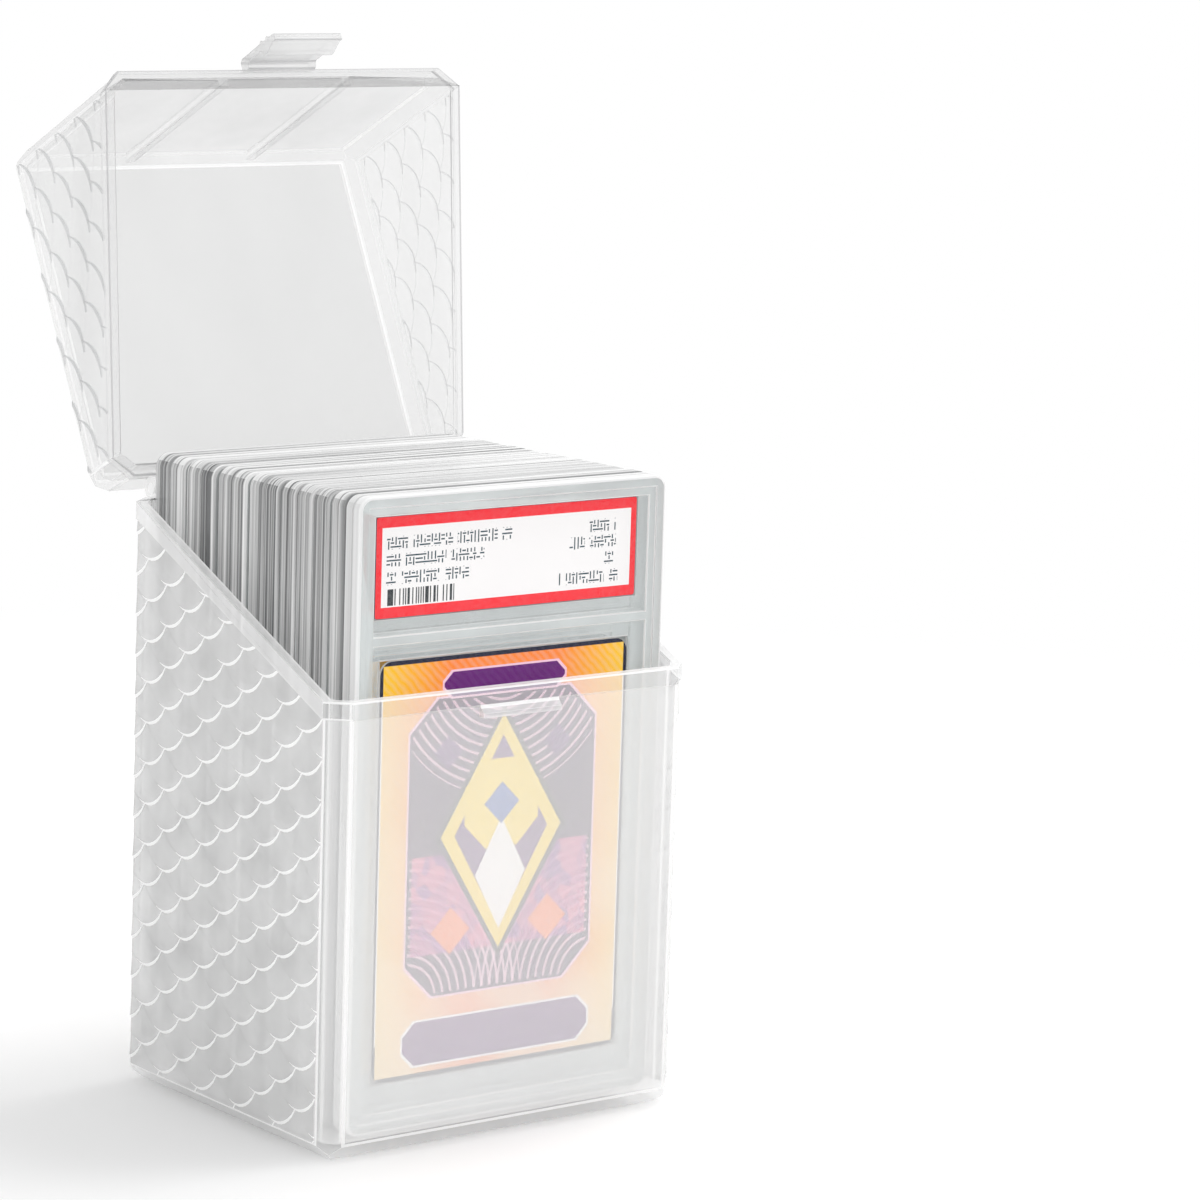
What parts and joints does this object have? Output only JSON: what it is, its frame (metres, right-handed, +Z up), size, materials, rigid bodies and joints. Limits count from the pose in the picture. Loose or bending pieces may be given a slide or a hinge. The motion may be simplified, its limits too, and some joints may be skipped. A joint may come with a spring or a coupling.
{
  "type": "trading card display case",
  "caption": "Clear hinged display case with a low front and sloping sides, a snap latch, and a row of sealed card holders standing upright in it.",
  "frame": {"origin": "centre of the case's foot, on the surface it stands on", "axes": "+Z up, -Y towards the low front wall with the latch, +Y towards the hinges, +X to the right as seen from the front"},
  "size_m": [0.0924, 0.1332, 0.225],
  "materials": {
    "case_clear": "clear polished moulding",
    "holder_clear": "clear polished moulding, slightly smoky",
    "card_print": "printed and coated card stock",
    "label_paper": "printed paper"
  },
  "bodies": {
    "base": {"base": "case_clear", "hinge_pin_left": "case_clear", "hinge_pin_right": "case_clear"},
    "lid": {"lid": "case_clear"},
    "latch": {"latch": "case_clear"},
    "holder_01": {"holder_01_front": "holder_clear", "holder_01_back": "holder_clear", "holder_01_card": "card_print", "holder_01_label": "label_paper"},
    "holder_02": {"holder_02_front": "holder_clear", "holder_02_back": "holder_clear", "holder_02_card": "card_print", "holder_02_label": "label_paper"},
    "holder_03": {"holder_03_front": "holder_clear", "holder_03_back": "holder_clear", "holder_03_card": "card_print", "holder_03_label": "label_paper"},
    "holder_04": {"holder_04_front": "holder_clear", "holder_04_back": "holder_clear", "holder_04_card": "card_print", "holder_04_label": "label_paper"},
    "holder_05": {"holder_05_front": "holder_clear", "holder_05_back": "holder_clear", "holder_05_card": "card_print", "holder_05_label": "label_paper"},
    "holder_06": {"holder_06_front": "holder_clear", "holder_06_back": "holder_clear", "holder_06_card": "card_print", "holder_06_label": "label_paper"},
    "holder_07": {"holder_07_front": "holder_clear", "holder_07_back": "holder_clear", "holder_07_card": "card_print", "holder_07_label": "label_paper"},
    "holder_08": {"holder_08_front": "holder_clear", "holder_08_back": "holder_clear", "holder_08_card": "card_print", "holder_08_label": "label_paper"},
    "holder_09": {"holder_09_front": "holder_clear", "holder_09_back": "holder_clear", "holder_09_card": "card_print", "holder_09_label": "label_paper"},
    "holder_10": {"holder_10_front": "holder_clear", "holder_10_back": "holder_clear", "holder_10_card": "card_print", "holder_10_label": "label_paper"},
    "holder_11": {"holder_11_front": "holder_clear", "holder_11_back": "holder_clear", "holder_11_card": "card_print", "holder_11_label": "label_paper"},
    "holder_12": {"holder_12_front": "holder_clear", "holder_12_back": "holder_clear", "holder_12_card": "card_print", "holder_12_label": "label_paper"},
    "holder_13": {"holder_13_front": "holder_clear", "holder_13_back": "holder_clear", "holder_13_card": "card_print", "holder_13_label": "label_paper"}
  },
  "joints": [
    {"name": "lid_hinge", "type": "hinge", "parent": "base", "child": "lid", "pos_m": [0, 0.0431, 0.128], "axis": [-1, 0, 0], "range_deg": [-117, 0]},
    {"name": "latch_flex", "type": "hinge", "parent": "lid", "child": "latch", "pos_m": [0, 0.05486, 0.21561], "axis": [-1, 0, 0], "range_deg": [0, 12], "stiffness_Nm_per_rad": 0.15},
    {"name": "holder_01_lift", "type": "slide", "parent": "base", "child": "holder_01", "axis": [0, 0, 1], "range_m": [0, 0.14]},
    {"name": "holder_02_lift", "type": "slide", "parent": "base", "child": "holder_02", "axis": [0, 0, 1], "range_m": [0, 0.14]},
    {"name": "holder_03_lift", "type": "slide", "parent": "base", "child": "holder_03", "axis": [0, 0, 1], "range_m": [0, 0.14]},
    {"name": "holder_04_lift", "type": "slide", "parent": "base", "child": "holder_04", "axis": [0, 0, 1], "range_m": [0, 0.14]},
    {"name": "holder_05_lift", "type": "slide", "parent": "base", "child": "holder_05", "axis": [0, 0, 1], "range_m": [0, 0.14]},
    {"name": "holder_06_lift", "type": "slide", "parent": "base", "child": "holder_06", "axis": [0, 0, 1], "range_m": [0, 0.14]},
    {"name": "holder_07_lift", "type": "slide", "parent": "base", "child": "holder_07", "axis": [0, 0, 1], "range_m": [0, 0.14]},
    {"name": "holder_08_lift", "type": "slide", "parent": "base", "child": "holder_08", "axis": [0, 0, 1], "range_m": [0, 0.14]},
    {"name": "holder_09_lift", "type": "slide", "parent": "base", "child": "holder_09", "axis": [0, 0, 1], "range_m": [0, 0.14]},
    {"name": "holder_10_lift", "type": "slide", "parent": "base", "child": "holder_10", "axis": [0, 0, 1], "range_m": [0, 0.14]},
    {"name": "holder_11_lift", "type": "slide", "parent": "base", "child": "holder_11", "axis": [0, 0, 1], "range_m": [0, 0.14]},
    {"name": "holder_12_lift", "type": "slide", "parent": "base", "child": "holder_12", "axis": [0, 0, 1], "range_m": [0, 0.14]},
    {"name": "holder_13_lift", "type": "slide", "parent": "base", "child": "holder_13", "axis": [0, 0, 1], "range_m": [0, 0.14]}
  ]
}
